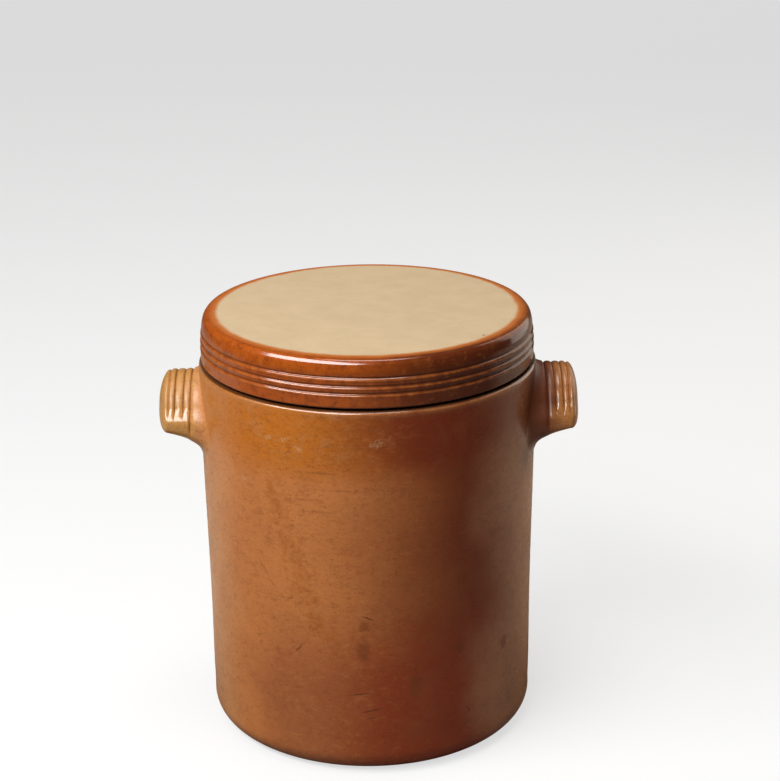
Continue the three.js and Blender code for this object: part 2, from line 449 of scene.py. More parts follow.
def soften_joint(piece, root):
    """Smooths the clay where the ears are luted on."""
    pick(piece)
    bpy.ops.object.mode_set(mode="EDIT")
    bpy.ops.mesh.select_all(action="DESELECT")
    bpy.ops.object.mode_set(mode="OBJECT")
    seam = set()
    mesh = bmesh.new()
    mesh.from_mesh(piece.data)
    mesh.verts.ensure_lookup_table()
    for corner in mesh.verts:
        out = math.hypot(corner.co.x, corner.co.y)
        if abs(corner.co.x) > JOINT_OUT and JOINT_HEIGHTS[0] < corner.co.z < JOINT_HEIGHTS[1]:
            if any(len(face.verts) != 4 for face in corner.link_faces) and out < root + 4 * MM:
                seam.add(corner.index)
    ring = set(seam)
    for _ in range(2):
        ring |= {edge.other_vert(mesh.verts[i]).index for i in ring for edge in mesh.verts[i].link_edges}
    mesh.free()
    for index in ring:
        piece.data.vertices[index].select = True
    bpy.ops.object.mode_set(mode="EDIT")
    bpy.ops.mesh.vertices_smooth(factor=0.5, repeat=4)
    bpy.ops.object.mode_set(mode="OBJECT")


# The lid


# Each line has a shallow dip above it and a raised lip under it
LIP_OFFSET = 1.1 * MM

# Fine ridges run round the lined band, strongest at its middle. They follow a sine, and one radian of it
# takes up this height
RIDGED_HEIGHT = 201 * MM
RIDGED_WIDTH = 6 * MM
RIDGE_DEPTH = 0.04 * MM
RIDGE_RADIAN = 0.19 * MM

# The outward normal rises between these angles over the bevel round the top
BEVEL_START = math.radians(31)
BEVEL_END = math.radians(41)


def lid_side(lid, height):
    """Radius of the lid's side: a bulged wall with three incised lines, each with a raised lip under it."""
    rise = min(1.0, max(0.0, height - (LID_HIGH.z - lid.side_height)) / lid.side_height)
    inset = 1 - (1 - rise ** lid.side_power) ** (1 / lid.side_power)
    radius = lid.radius - lid.side_inset * inset
    for line in lid.lines:
        radius -= lid.line_depth * bell(height - line, lid.line_width)
        radius -= 0.3 * lid.line_depth * bell(height - line - LIP_OFFSET, 2 * lid.line_width)
        radius += 0.25 * lid.line_depth * bell(height - line + LIP_OFFSET, 1.2 * lid.line_width)
    ridged = bell(height - RIDGED_HEIGHT, RIDGED_WIDTH)
    return radius + RIDGE_DEPTH * ridged * math.sin(height / RIDGE_RADIAN)


def lid_profile(lid):
    """Outline of the lid from the middle of its underside, up the lined side, over the bevel and in."""
    base, foot = lid.radius - lid.foot_edge, LID_LOW.z + lid.foot_edge
    points = [(0, LID_LOW.z)] + [(r, LID_LOW.z) for r in spaced(10 * MM, base, 10 * MM)]
    points += round_edge(base, foot, lid.foot_edge, -QUARTER_TURN, 0, 8)
    bevel = LID_HIGH.z - lid.bevel_height
    points += [(lid_side(lid, z), z) for z in spaced(foot, bevel, 0.2 * MM)[1:] + [bevel]]
    points += follow_arc(points[-1], lid.bevel_radius, BEVEL_START, BEVEL_END, 8)
    last = (LID_HIGH.z - points[-1][1]) / (1 - math.sin(BEVEL_END))
    points += follow_arc(points[-1], last, BEVEL_END, QUARTER_TURN, 12)
    edge = points[-1][0]
    points += [(r, LID_HIGH.z) for r in spaced(edge - 1 * MM, 60 * MM, 1.5 * MM)]
    points += [(r, LID_HIGH.z) for r in spaced(60 * MM, 0, 12 * MM)] + [(0, LID_HIGH.z)]
    return points


# The finishes


def put(tree, kind, inputs=None, **settings):
    """Adds a node, with its settings, and its inputs set to values or linked from sockets."""
    node = tree.nodes.new(kind)
    for name, value in settings.items():
        setattr(node, name, value)
    for name, value in (inputs or {}).items():
        socket = node.inputs[name]
        if isinstance(value, bpy.types.NodeSocket):
            tree.links.new(value, socket)
        else:
            socket.default_value = value
    return node


def tree_of(*values):
    """The node tree that the first socket among some values belongs to."""
    return next(value.id_data for value in values if isinstance(value, bpy.types.NodeSocket))


def maths(operation, first, second=0.0):
    return put(
        tree_of(first, second), "ShaderNodeMath", {0: first, 1: second}, operation=operation).outputs[0]


def times(first, second):
    return maths("MULTIPLY", first, second)


def plus(first, second):
    return maths("ADD", first, second)


def minus(first, second):
    return maths("SUBTRACT", first, second)


def strongest(masks):
    """The highest of several masks."""
    total = masks[0]
    for mask in masks[1:]:
        total = maths("MAXIMUM", total, mask)
    return total


def vector_maths(operation, first, second):
    return put(
        tree_of(first), "ShaderNodeVectorMath", {0: first, 1: second}, operation=operation).outputs[0]


def squeezed(place, factor):
    """A place whose pattern comes out flatter, by a factor."""
    return vector_maths("MULTIPLY", place, (1.0, 1.0, factor))


def remap(value, low, high, out_low=0.0, out_high=1.0):
    """An even S from out_low to out_high while value goes from low to high."""
    return put(
        tree_of(value), "ShaderNodeMapRange",
        {"Value": value, "From Min": low, "From Max": high, "To Min": out_low, "To Max": out_high},
        interpolation_type="SMOOTHSTEP").outputs["Result"]


def between(factor, first, second):
    """Two numbers mixed."""
    inputs = {0: factor, 2: first, 3: second}
    return put(tree_of(factor), "ShaderNodeMix", inputs, data_type="FLOAT").outputs[0]


def mixed(factor, first, second):
    """Two colours mixed. A plain colour is three numbers."""
    tree = tree_of(factor)
    node = put(tree, "ShaderNodeMix", {0: factor}, data_type="RGBA")
    for socket, value in ((node.inputs[6], first), (node.inputs[7], second)):
        if isinstance(value, bpy.types.NodeSocket):
            tree.links.new(value, socket)
        else:
            socket.default_value = (*value, 1)
    return node.outputs[2]


def tinted(colour, tint, mask, strength):
    """A colour turned to a tint under a mask, as far as a strength."""
    return mixed(times(mask, strength), colour, tint)


def noise(place, spacing, detail=3.0, roughness=0.55, offset=0.0):
    """Noise from 0 to 1 whose spots are about one spacing apart, in metres."""
    moved = vector_maths("ADD", place, (offset, offset * 0.7, offset * 1.3))
    return put(
        tree_of(place), "ShaderNodeTexNoise",
        {"Vector": moved, "Scale": 1 / spacing, "Detail": detail, "Roughness": roughness}).outputs[0]


def new_group(name, inputs, output):
    """A node group with a Place vector and number inputs, and one number output."""
    tree = bpy.data.node_groups.new(name, "ShaderNodeTree")
    tree.interface.new_socket("Place", in_out="INPUT", socket_type="NodeSocketVector")
    for label, value in inputs.items():
        socket = tree.interface.new_socket(label, in_out="INPUT", socket_type="NodeSocketFloat")
        socket.default_value = value
    tree.interface.new_socket(output, in_out="OUTPUT", socket_type="NodeSocketFloat")
    return tree, put(tree, "NodeGroupInput").outputs, put(tree, "NodeGroupOutput").inputs


def speck_group(name):
    """Small round iron specks of uneven size, scattered one to a cell."""
    tree, given, out = new_group(name, {"Spacing": 3 * MM, "Size": 0.3 * MM, "Share": 0.5}, "Mask")
    scale = maths("DIVIDE", 1.0, given["Spacing"])
    cells = put(tree, "ShaderNodeTexVoronoi", {"Vector": given["Place"], "Scale": scale}, feature="F1")
    chance = put(tree, "ShaderNodeSeparateColor", {0: cells.outputs["Color"]}).outputs
    reach = times(maths("DIVIDE", given["Size"], given["Spacing"]), chance[1])
    near = remap(cells.outputs["Distance"], times(reach, 0.5), reach, 1.0, 0.0)
    there = maths("LESS_THAN", chance[0], given["Share"])
    tree.links.new(times(near, there), out["Mask"])
    return tree


def crack_group(name):
    """Hairline cracks of the glaze, in patches."""
    tree, given, out = new_group(name, {"Spacing": 5 * MM, "Width": 0.03, "Share": 0.45}, "Mask")
    bent = noise(given["Place"], 3 * MM, 4)
    reach = (6 * MM, 5 * MM, 6 * MM)
    bend = put(tree, "ShaderNodeVectorMath", {0: reach, "Scale": bent}, operation="SCALE").outputs[0]
    place = vector_maths("ADD", given["Place"], bend)
    scale = maths("DIVIDE", 1.0, given["Spacing"])
    cells = put(tree, "ShaderNodeTexVoronoi", {"Vector": place, "Scale": scale}, feature="DISTANCE_TO_EDGE")
    line = remap(cells.outputs["Distance"], 0.0, given["Width"], 1.0, 0.0)
    low = minus(0.95, given["Share"])
    patch = remap(noise(given["Place"], 17 * MM, 3, 0.6, 3.1), low, plus(low, 0.12))
    tree.links.new(times(line, patch), out["Mask"])
    return tree


def skin_group(name):
    """Height of a salt-glazed skin, in metres: fine orange peel over slow ripples."""
    tree, given, out = new_group(name, {"Peel": 0.012 * MM, "Ripple": 0.05 * MM}, "Height")
    fine = times(noise(given["Place"], 1.1 * MM, 2, 0.5), given["Peel"])
    slow = times(noise(given["Place"], 9 * MM, 2, 0.5, 1.7), given["Ripple"])
    tree.links.new(plus(fine, slow), out["Height"])
    return tree


# The wall radius that a mark's length is measured at
MARK_RADIUS = 83 * MM


def mark_group(name):
    """A soft-edged mark on the wall at a turn from the front and a height: a spot, a stain or a scratch."""
    inputs = {
        "Turn": 0.0, "Height": 100 * MM, "Length": 10 * MM, "Width": 5 * MM,
        "Tilt": 0.0, "Rough": 0.3, "Ragged": 0.5,
    }
    tree, given, out = new_group(name, inputs, "Mask")
    axes = put(tree, "ShaderNodeSeparateXYZ", {0: given["Place"]}).outputs
    turn = maths("ARCTAN2", axes["X"], times(axes["Y"], -1.0))
    across = times(minus(turn, given["Turn"]), MARK_RADIUS)
    up = minus(axes["Z"], given["Height"])
    cos, sin = maths("COSINE", given["Tilt"]), maths("SINE", given["Tilt"])
    along = plus(times(across, cos), times(up, sin))
    beside = minus(times(up, cos), times(across, sin))
    first = maths("POWER", maths("DIVIDE", along, given["Length"]), 2.0)
    second = maths("POWER", maths("DIVIDE", beside, given["Width"]), 2.0)
    distance = maths("SQRT", plus(first, second))
    ragged = times(minus(given["Ragged"], 0.5), times(given["Rough"], 3.0))
    tree.links.new(remap(plus(distance, ragged), 0.4, 1.2, 1.0, 0.0), out["Mask"])
    return tree


# The effects that the materials share
GROUP_MAKERS = {
    "iron specks": speck_group,
    "hairline cracks": crack_group,
    "glaze skin": skin_group,
    "kiln mark": mark_group,
}


class Finish:
    """A material while it is built: its tree, its shader, its colours and the piece's own places."""

    def __init__(self, name, colours=None):
        self.material = bpy.data.materials.new(name)
        self.material.use_nodes = True
        self.tree = self.material.node_tree
        self.shader = self.tree.nodes["Principled BSDF"]
        self.colours = colours
        self.place = put(self.tree, "ShaderNodeTexCoord").outputs["Object"]
        axes = put(self.tree, "ShaderNodeSeparateXYZ", {0: self.place}).outputs
        self.x, self.y, self.z = axes["X"], axes["Y"], axes["Z"]

    def attribute(self, name):
        return put(self.tree, "ShaderNodeAttribute", attribute_name=name).outputs["Fac"]

    def placed(self, name, place=None, **values):
        """A shared effect with this material's own values. It is built when it is first used."""
        group = bpy.data.node_groups.get(name) or GROUP_MAKERS[name](name)
        inputs = {"Place": self.place if place is None else place, **values}
        return put(self.tree, "ShaderNodeGroup", inputs, node_tree=group).outputs[0]

    def set_surface(self, colour, roughness, height, shine):
        """Links the colour, the roughness and the height of the skin, in metres, and sets the shine."""
        self.tree.links.new(colour, self.shader.inputs["Base Color"])
        self.tree.links.new(roughness, self.shader.inputs["Roughness"])
        bump = put(self.tree, "ShaderNodeBump", {"Height": height, "Distance": 1.0, "Strength": 1.0})
        self.tree.links.new(bump.outputs[0], self.shader.inputs["Normal"])
        self.shader.inputs["Specular IOR Level"].default_value = shine


def floor_finish(studio):
    """A pale floor with a lift of its own, that sends less light back to the pot than the camera sees."""
    finish = Finish("pale floor")
    tree, shader = finish.tree, finish.shader
    rays = put(tree, "ShaderNodeLightPath").outputs
    back = remap(finish.y, *BOUNCE_TURN)
    bounce = mixed(back, studio.bounce_front, studio.bounce_back)
    bounce = mixed(rays["Is Diffuse Ray"], bounce, studio.bounce_soft)
    seen = rays["Is Camera Ray"]
    tree.links.new(mixed(seen, bounce, studio.floor_colour), shader.inputs["Base Color"])
    tree.links.new(mixed(seen, (0, 0, 0), studio.floor_lift), shader.inputs["Emission Color"])
    shader.inputs["Emission Strength"].default_value = 1.0
    shader.inputs["Roughness"].default_value = 0.9
    shader.inputs["Specular IOR Level"].default_value = 0.0
    return finish.material


# Where the floor's bounce turns from the front colour to the back one, along Y
BOUNCE_TURN = (-60 * MM, 120 * MM)

# Where the pot's zones begin and end, across the pot (X) or up it (Z)
# The turns across X from the left's colours to the right's darker ones are partly the glaze's own tone and
# partly painted shade of the side turned from the key light
SHADED_SIDE_TURN = (-30 * MM, 52 * MM)
GOLDEN_TURN = (-44 * MM, 28 * MM)
REDDER_TURN = (-40 * MM, 8 * MM)
LOWER_LEFT = (-66 * MM, -40 * MM)
LOWER_TOP = (45 * MM, 100 * MM)
GOLDEN_START = (148 * MM, 166 * MM)
CRAZED_START = (160 * MM, 172 * MM)
PITTED_START = (150 * MM, 176 * MM)
WRINKLED_START = (50 * MM, 95 * MM)
# Painted sheen: the far right is paler and greyer, and both far edges paler, where the glaze mirrors the
# bright surroundings
OLIVE_START = (44 * MM, 68 * MM)
OLIVE_TOP = (150 * MM, 175 * MM)
SHEEN_LEFT = (-62 * MM, -82 * MM)
SHEEN_RIGHT = (68 * MM, 80 * MM)
SHEEN_TOP = (140 * MM, 150 * MM)
LIGHT_SIDE_END = (-15 * MM, 40 * MM)
# Painted shade on the shelf in the gap under the lid starts between these heights
LEDGE_SHADE_START = (188.2 * MM, 188.7 * MM)
BARE_FOOT_TOP = (0.3 * MM, 1.2 * MM)

# Where the ears' own glaze starts, out from the pot's middle, and the zones round them
LEFT_EAR_START = (82 * MM, 88 * MM)
RIGHT_EAR_START = (88 * MM, 96 * MM)
# Painted shade on the wall round the right ear begins between these distances across and heights up
SHADE_START = (70 * MM, 78 * MM)
SHADE_BOTTOM = (132 * MM, 146 * MM)
NECK_START = (77 * MM, 80 * MM)
NECK_BOTTOM = (146 * MM, 152 * MM)
RIBS_BOTTOM = (168 * MM, 172 * MM)

# Marks on the wall: turn from the front in radians, height in mm, how far the mark reaches from its middle
# along and across it in mm, tilt in radians, and raggedness
DARK_STREAK = [
    (-0.55, 138.0, 15, 6, -1.25, 1.0), (-0.46, 115.0, 17, 6, -1.2, 1.0),
    (-0.39, 97.0, 15, 8, -1.1, 0.9), (-0.29, 79.0, 14, 6, -0.9, 1.0),
]
RED_STAINS = [
    (-0.046, 67.7, 4, 6.5, 0.0, 0.4), (-0.036, 80.0, 3.5, 2.5, 0.0, 0.7), (0.545, 62.5, 3, 4.5, 0.3, 0.6),
    (0.26, 48.0, 4, 8, 0.0, 0.6), (0.93, 55.0, 3, 4, 0.0, 0.5),
]
SCRATCHES = [
    (-0.065, 44.0, 7, 0.4, 0.14, 0.1), (-0.003, 35.1, 6.5, 0.4, 0.22, 0.1),
    (-0.003, 31.1, 2.5, 0.35, 0.2, 0.1), (-0.023, 84.7, 4, 0.45, -0.39, 0.5),
    (-0.442, 65.5, 3.2, 0.35, 0.82, 0.1), (0.619, 27.4, 2.5, 0.4, -1.0, 0.1),
]
FAINT_LINES = [
    (-0.37, 144.1, 8, 0.7, 0.07, 0.9), (-0.28, 138.5, 8, 0.7, 0.02, 0.9), (-0.30, 158.0, 9, 0.7, 0.03, 1.0),
    (-0.14, 150.0, 8, 0.7, 0.0, 1.0), (-0.66, 103.5, 6, 0.7, -0.9, 0.9),
]
PALE_SPOTS = [
    (-0.41, 169.2, 3.5, 1.9, 0.0, 0.9), (0.045, 173.6, 3.2, 2.4, 0.0, 0.9), (-0.79, 147.8, 3, 1.2, 0.1, 0.9),
    (-0.50, 172.7, 4, 1.2, 0.3, 0.9), (-0.604, 172.1, 3, 1.2, 0.2, 0.9),
]

# A small dark nick on the edge of the lid's bare disc
EDGE_NICK = (54.9 * MM, -44.6 * MM, 213 * MM)


def add_pot_patterns(pot):
    """Gives the pot's finish the noises, uneven places and masks that its parts share."""
    place = pot.place
    pot.cloud = noise(place, 16 * MM, 5, 0.6, 2.3)
    pot.grain = noise(place, 1.1 * MM, 5, 0.75, 5.1)
    pot.worn = noise(squeezed(place, 1.6), 5 * MM, 6, 0.7, 9.4)
    pot.ragged = noise(place, 3 * MM, 4)
    broad_swing = times(minus(noise(place, 60 * MM, 3, 0.5), 0.5), 40 * MM)
    cloud_swing = times(minus(pot.cloud, 0.5), 14 * MM)
    pot.across = plus(pot.x, broad_swing)
    pot.height = plus(pot.z, cloud_swing)
    # The pale tints of grain, wear, wrinkles and crackle are strongest on the lit left and faint on the
    # right: partly painted sheen
    pot.light_side = remap(pot.across, *LIGHT_SIDE_END, 1.0, 0.15)
    pot.on_right = maths("GREATER_THAN", pot.x, 0.0)
    pot.out = maths("ABSOLUTE", pot.x)
    pot.uneven_out = plus(pot.out, cloud_swing)
    left, right = (remap(pot.uneven_out, *start) for start in (LEFT_EAR_START, RIGHT_EAR_START))
    pot.on_ear = between(pot.on_right, left, right)


def marks(pot, rows):
    """The strongest of several marks on the wall."""
    return strongest([
        pot.placed("kiln mark", Turn=turn, Height=height * MM, Length=length * MM, Width=width * MM,
                   Tilt=tilt, Rough=rough, Ragged=pot.ragged)
        for turn, height, length, width, tilt, rough in rows
    ])


def wall_zones(pot):
    """Broad zones: tan to dark across, the dark partly painted shade of the side turned from the key light,
    golden under the rim, redder low down, and pale at both edges as painted sheen.
    """
    across, height, colours = pot.across, pot.height, pot.colours
    low = times(remap(height, *LOWER_TOP, 0.9, 0.0), remap(across, *LOWER_LEFT))
    # To the right the lower and golden zones turn darker, partly as painted shade
    lower = mixed(remap(across, *REDDER_TURN), colours.rosy, colours.shaded_clay_red)
    golden = mixed(remap(across, *GOLDEN_TURN), colours.gold, colours.shaded_chestnut)
    # Painted sheen at the far right and along both far edges
    far_right_sheen = times(remap(across, *OLIVE_START), remap(height, *OLIVE_TOP, 1.0, 0.3))
    right_edge_sheen = times(remap(pot.x, *SHEEN_RIGHT), remap(height, *SHEEN_TOP, 1.0, 0.0))
    # Tan to umber across the pot: partly the glaze's tone, partly painted shade of the right side
    colour = mixed(remap(across, *SHADED_SIDE_TURN), colours.tan, colours.umber_and_shade)
    colour = mixed(low, colour, lower)
    colour = mixed(remap(height, *GOLDEN_START), colour, golden)
    colour = mixed(far_right_sheen, colour, colours.olive_sheen)
    colour = mixed(remap(across, *SHEEN_LEFT), colour, colours.pale_sheen)
    colour = mixed(right_edge_sheen, colour, colours.pale_sheen)
    return tinted(colour, colours.rosy, remap(pot.cloud, 0.45, 0.7), 0.14)


def add_ear_glaze(pot, colour):
    """Adds the ears' own glaze, with darker pools in the grooves, darker still in the right ear's inner
    grooves as painted shade, and painted shade on the wall round the right ear.
    """
    colours = pot.colours
    # Painted shade on the wall round the right ear
    beside = times(remap(pot.height, *SHADE_BOTTOM), remap(pot.across, *SHADE_START))
    colour = tinted(colour, colours.groove_shade, beside, 0.8)
    ear = mixed(pot.on_right, colours.ear, colours.ear_dark)
    ear = tinted(ear, colours.tan, remap(pot.cloud, 0.45, 0.7), 0.35)
    colour = mixed(pot.on_ear, colour, ear)
    # The right ear's inner grooves pool darker, as painted shade
    inside = times(pot.on_right, remap(pot.uneven_out, *RIGHT_EAR_START, 1.0, 0.0))
    pooled = mixed(inside, colours.groove, colours.groove_shade)
    return tinted(colour, pooled, pot.attribute("glaze_pool"), 0.6)


def add_wear(pot, colour):
    """Adds thin glaze along the rim, grain, and worn patches; their pale tint is partly painted sheen,
    strongest on the light side.
    """
    colours = pot.colours
    thin = times(pot.attribute("glaze_thin"), remap(pot.cloud, 0.3, 0.6, 0.2, 0.6))
    colour = mixed(thin, colour, colours.edge)
    colour = mixed(remap(pot.grain, 0.50, 0.70, 0.0, 0.35), colour, colours.umber_and_shade)
    colour = tinted(colour, colours.edge, remap(pot.grain, 0.47, 0.30, 0.0, 0.22), pot.light_side)
    colour = mixed(remap(pot.worn, 0.53, 0.66, 0.0, 0.27), colour, colours.umber_and_shade)
    return tinted(colour, colours.edge, remap(pot.worn, 0.47, 0.34, 0.0, 0.30), pot.light_side)


def add_stains(pot, colour):
    """Adds the slanting streak, broken up, and the reddish stains."""
    colours = pot.colours
    broken = remap(pot.worn, 0.40, 0.60, 0.15, 0.55)
    colour = tinted(colour, colours.streak, marks(pot, DARK_STREAK), broken)
    return tinted(colour, colours.stain, marks(pot, RED_STAINS), 0.6)


def add_wrinkles(pot, colour):
    """Adds fine flat wrinkles, cracks and faint lines, and the paler skin between them, partly painted sheen
    held to the light side.
    """
    colours = pot.colours
    fine = noise(squeezed(pot.place, 3.2), 3.2 * MM, 5, 0.68, 12.3)
    upper = remap(pot.height, *WRINKLED_START, 0.35, 1.0)
    dark = times(remap(fine, 0.565, 0.64, 0.0, 0.75), upper)
    pale = times(remap(fine, 0.44, 0.36, 0.0, 0.30), upper)
    flat = squeezed(pot.place, 2.2)
    cracks = pot.placed("hairline cracks", flat, Spacing=5 * MM, Width=0.045, Share=0.5)
    faint = times(marks(pot, FAINT_LINES), 0.6)
    colour = tinted(colour, colours.edge, pale, pot.light_side)
    return tinted(colour, colours.wrinkle, strongest([cracks, faint, dark]), 0.52)


def pale_crackle(pot):
    """A mask of pale crackle, in the pale spots and faintly in the golden zone, where it is held to the light
    side as partly painted sheen.
    """
    crazed = times(remap(pot.height, *CRAZED_START), remap(pot.cloud, 0.50, 0.60, 0.0, 0.35))
    crazed = times(crazed, pot.light_side)
    lines = pot.placed("hairline cracks", Spacing=1.6 * MM, Width=0.12, Share=0.95)
    return times(strongest([marks(pot, PALE_SPOTS), crazed]), lines)


def pot_specks(pot):
    """A mask of iron specks, finer dust, and pits that crowd under the rim."""
    large = pot.placed("iron specks", Spacing=5 * MM, Size=0.5 * MM, Share=0.5)
    dust = pot.placed("iron specks", Spacing=1.5 * MM, Size=0.27 * MM, Share=0.4)
    pits = pot.placed("iron specks", Spacing=2.2 * MM, Size=0.5 * MM, Share=0.5)
    pits = times(pits, remap(pot.height, *PITTED_START))
    return strongest([large, times(dust, 0.7), pits])


def pot_roughness(pot, bare_foot):
    """Drier on the left ribs, the necks and the foot, and glossier low on the ears and on the right one."""
    dry = times(pot.on_ear, remap(pot.z, *RIBS_BOTTOM, -0.10, 0.12))
    dry = minus(dry, times(pot.on_right, times(pot.on_ear, 0.2)))
    neck = times(remap(pot.out, *NECK_START, 0.0, 0.14), remap(pot.height, *NECK_BOTTOM))
    dry = plus(dry, times(neck, minus(1.0, pot.on_ear)))
    roughness = plus(remap(pot.cloud, 0.2, 0.8, 0.22, 0.34), dry)
    return plus(roughness, times(bare_foot, 0.5))


def pot_finish(colours):
    """Salt glaze: golden under the rim, tan on the left, red-brown and dark on the right, the dark partly
    painted shade, with painted sheen at the far edges and painted shade on the shelf under the lid.
    """
    pot = Finish("pot salt glaze", colours)
    add_pot_patterns(pot)
    colour = add_ear_glaze(pot, wall_zones(pot))
    colour = add_stains(pot, add_wear(pot, colour))
    colour = add_wrinkles(pot, colour)
    scratches = marks(pot, SCRATCHES)
    colour = tinted(colour, colours.iron, scratches, 0.7)
    colour = tinted(colour, colours.clay, pale_crackle(pot), 0.6)
    colour = tinted(colour, colours.iron, pot_specks(pot), 0.75)
    # Painted shade on the shelf in the gap under the lid, in the iron colour
    colour = tinted(colour, colours.iron, remap(pot.z, *LEDGE_SHADE_START), 0.85)
    bare_foot = remap(pot.z, *BARE_FOOT_TOP, 1.0, 0.0)
    colour = mixed(bare_foot, colour, colours.clay)
    skin = pot.placed("glaze skin", Peel=0.014 * MM, Ripple=0.05 * MM)
    skin = minus(skin, times(scratches, 0.06 * MM))
    pot.set_surface(colour, pot_roughness(pot, bare_foot), skin, shine=0.6)
    pot.tree.links.new(pot.attribute("glaze_thin"), pot.shader.inputs["Coat Weight"])
    return pot.material


def lid_glaze(lid):
    """Red-brown glaze, dark on the right partly as painted shade, thin on the lips and dark in the lines."""
    colours = lid.colours
    fleck = noise(lid.place, 4.5 * MM, 6, 0.7, 8.3)
    # Darker to the right: partly the glaze's tone, partly painted shade of the side turned from the key light
    to_shaded_side = remap(plus(lid.x, times(lid.wander, 4.0)), -24 * MM, 36 * MM)
    glaze = mixed(to_shaded_side, colours.lid, colours.lid_dark_and_shade)
    glaze = tinted(glaze, colours.gold, remap(lid.cloud, 0.45, 0.75), 0.12)
    glaze = tinted(glaze, colours.lid_dark_and_shade, remap(fleck, 0.50, 0.62), 0.45)
    glaze = tinted(glaze, colours.halo, remap(fleck, 0.46, 0.36), 0.2)
    glaze = tinted(glaze, colours.iron, remap(lid.grain, 0.52, 0.68), 0.5)
    lips = remap(fleck, 0.4, 0.6, 0.55, 0.2)
    glaze = tinted(glaze, colours.halo, lid.attribute("glaze_crest"), lips)
    glaze = tinted(glaze, colours.iron, lid.attribute("glaze_pool"), 0.5)
    back_right = plus(times(lid.x, 0.75), times(lid.y, 0.65))
    worn = remap(back_right, 5 * MM, 55 * MM, 0.0, 0.3)
    glaze = tinted(glaze, colours.halo, lid.attribute("glaze_thin"), worn)
    specks = lid.placed("iron specks", Spacing=3 * MM, Size=0.4 * MM, Share=0.45)
    return tinted(glaze, colours.iron, specks, 0.6)


def disc_clay(lid):
    """Bare mottled clay with a few dark specks."""
    colours = lid.colours
    clay = mixed(remap(lid.cloud, 0.3, 0.7), colours.disc, colours.disc_dark)
    clay = tinted(clay, colours.disc_dark, remap(lid.grain, 0.4, 0.7), 0.25)
    specks = lid.placed("iron specks", Spacing=7 * MM, Size=0.35 * MM, Share=0.4)
    return tinted(clay, colours.iron, specks, 0.5)


def lid_finish(colours, sizes):
    """Red-brown glaze on the side, an orange halo, a bare clay disc on top, and painted shade along the foot.
    """
    lid = Finish("lid glaze and bare clay", colours)
    tree, place = lid.tree, lid.place
    behind = minus(lid.y, sizes.disc_shift)
    flat = put(tree, "ShaderNodeCombineXYZ", {"X": lid.x, "Y": behind, "Z": 0.0}).outputs[0]
    out = put(tree, "ShaderNodeVectorMath", {0: flat}, operation="LENGTH").outputs["Value"]
    lid.cloud = noise(place, 14 * MM, 5, 0.6, 4.3)
    lid.grain = noise(place, 1.6 * MM, 6, 0.75, 6.1)
    lid.wander = times(minus(noise(place, 9 * MM, 5, 0.6), 0.5), 2.4 * MM)
    edge = plus(out, lid.wander)

    halo = remap(edge, sizes.disc_radius + 0.5 * MM, sizes.disc_radius + 5 * MM, 1.0, 0.0)
    glaze = mixed(halo, lid_glaze(lid), colours.halo)
    on_top = maths("GREATER_THAN", lid.z, LID_HIGH.z - 0.3 * MM)
    under = maths("LESS_THAN", lid.z, LID_LOW.z + 0.1 * MM)
    disc = remap(edge, sizes.disc_radius - 1.6 * MM, sizes.disc_radius + 1.2 * MM, 1.0, 0.0)
    bare = strongest([times(disc, on_top), under])
    colour = mixed(bare, glaze, disc_clay(lid))
    away = put(tree, "ShaderNodeVectorMath", {0: place, 1: EDGE_NICK}, operation="DISTANCE").outputs["Value"]
    away = plus(away, times(lid.wander, 0.7))
    colour = tinted(colour, colours.iron, remap(away, 0.3 * MM, 1.1 * MM, 1.0, 0.0), 0.9)
    # Painted shade along the lid's foot, in the gap over the pot's shelf, in the iron colour
    foot = remap(lid.z, LID_LOW.z + 0.5 * MM, LID_LOW.z + 1.1 * MM, 1.0, 0.0)
    colour = tinted(colour, colours.iron, foot, 0.9)
    roughness = plus(remap(lid.cloud, 0.2, 0.8, 0.12, 0.18), times(bare, 0.62))
    skin = lid.placed("glaze skin", Peel=0.008 * MM, Ripple=0.03 * MM)
    skin = minus(skin, times(bare, 0.12 * MM))
    lid.set_surface(colour, roughness, skin, shine=0.75)
    return lid.material


def dress(piece, material):
    """Gives a piece one material."""
    piece.data.materials.clear()
    piece.data.materials.append(material)


def paint(piece, name, value_at):
    """Stores a number at each corner of the mesh, for its material to read."""
    layer = piece.data.attributes.new(name, "FLOAT", "POINT")
    layer.data.foreach_set("value", [value_at(corner.co) for corner in piece.data.vertices])


def pot_pool(scene, point):
    """Where glaze pools: in the grooves of the ears."""
    ear = scene.left_ear if point.x < 0 else scene.right_ear
    out = abs(point.x)
    if out < ear.grooves[0] - 2 * MM:
        return 0.0
    out += ear.lean * (point.z - ear.end_height) / ear.arch_radius
    high = smooth(162 * MM, 168 * MM, point.z)
    longest = smooth(152 * MM, 158 * MM, point.z) * bell(out - ear.grooves[0], 0.5 * MM)
    return max(longest, high * max(bell(out - groove, 0.55 * MM) for groove in ear.grooves))


def pot_thin(sizes, point):
    """Where glaze runs thin: along the rim."""
    return bell(point.z - sizes.shoulder_height + 0.6 * MM, 1.6 * MM)


def lid_pool(lid, point):
    """Where glaze pools: in the lines."""
    return max(bell(point.z - line - 0.3 * MM, 0.8 * MM) for line in lid.lines)


def lid_crest(lid, point):
    """Where glaze runs thin: on the lip under each line."""
    return max(bell(point.z - line + 0.9 * MM, 0.6 * MM) for line in lid.lines)


def lid_thin(point):
    """Where glaze runs thin: over the top of the side."""
    return smooth(LID_HIGH.z - 4 * MM, LID_HIGH.z - 0.3 * MM, point.z)


# The pieces


